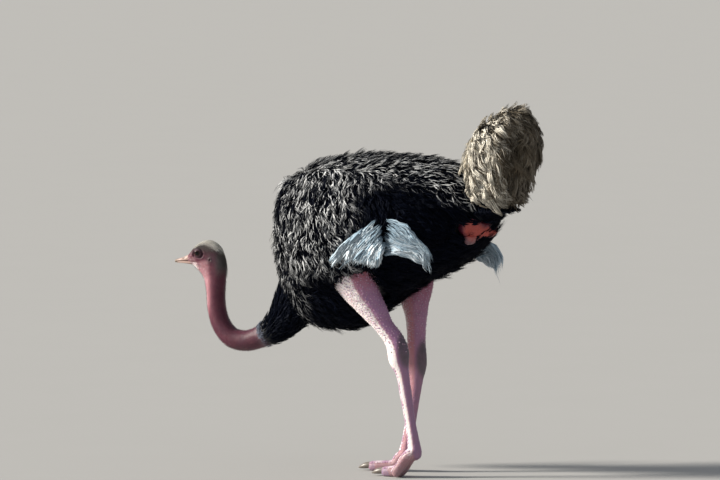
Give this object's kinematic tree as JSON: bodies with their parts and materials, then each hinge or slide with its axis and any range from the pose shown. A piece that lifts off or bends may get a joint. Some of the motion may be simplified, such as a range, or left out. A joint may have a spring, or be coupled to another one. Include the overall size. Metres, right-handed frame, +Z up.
{
  "type": "male masai ostrich",
  "caption": "Life-size still male ostrich with black body, white wing plumes, raised buff tail and pink legs, walking with its neck held low in a U.",
  "frame": {"origin": "on the floor, under the middle of the bird's bounding box", "axes": "+Z up; the bird faces -X; its left side is -Y; the plane of its neck, trunk and tail is y = 0"},
  "size_m": [1.644, 0.6204, 1.566],
  "materials": {
    "black_feather": "glossy black body plumes, loose and soft",
    "white_feather": "matte white, downy wing plumes",
    "buff_feather": "matte buff, drooping tail plumes",
    "pink_skin": "bare red-pink skin with fine creases and sparse down",
    "leg_skin": "bare pink skin, scaled below, grey at the heel",
    "bill_horn": "satin pinkish horn",
    "claw_horn": "dark worn horn",
    "eye": "wet dark brown eye"
  },
  "bodies": {
    "root": {"trunk": "black_feather", "neck_base": "black_feather", "wing_left": "black_feather", "wing_right": "black_feather", "plumes_left": "white_feather", "plumes_right": "white_feather", "tail": "buff_feather", "neck_low": "pink_skin", "neck_rise": "pink_skin", "neck_top": "pink_skin", "head": "pink_skin", "vent": "pink_skin", "drumstick_left": "leg_skin", "drumstick_right": "leg_skin", "shank_left": "leg_skin", "shank_right": "leg_skin", "toe_middle_left": "leg_skin", "toe_middle_right": "leg_skin", "toe_outer_left": "leg_skin", "toe_outer_right": "leg_skin", "bill_upper": "bill_horn", "bill_lower": "bill_horn", "claw_left": "claw_horn", "claw_right": "claw_horn", "eye_left": "eye", "eye_right": "eye"}
  },
  "joints": []
}
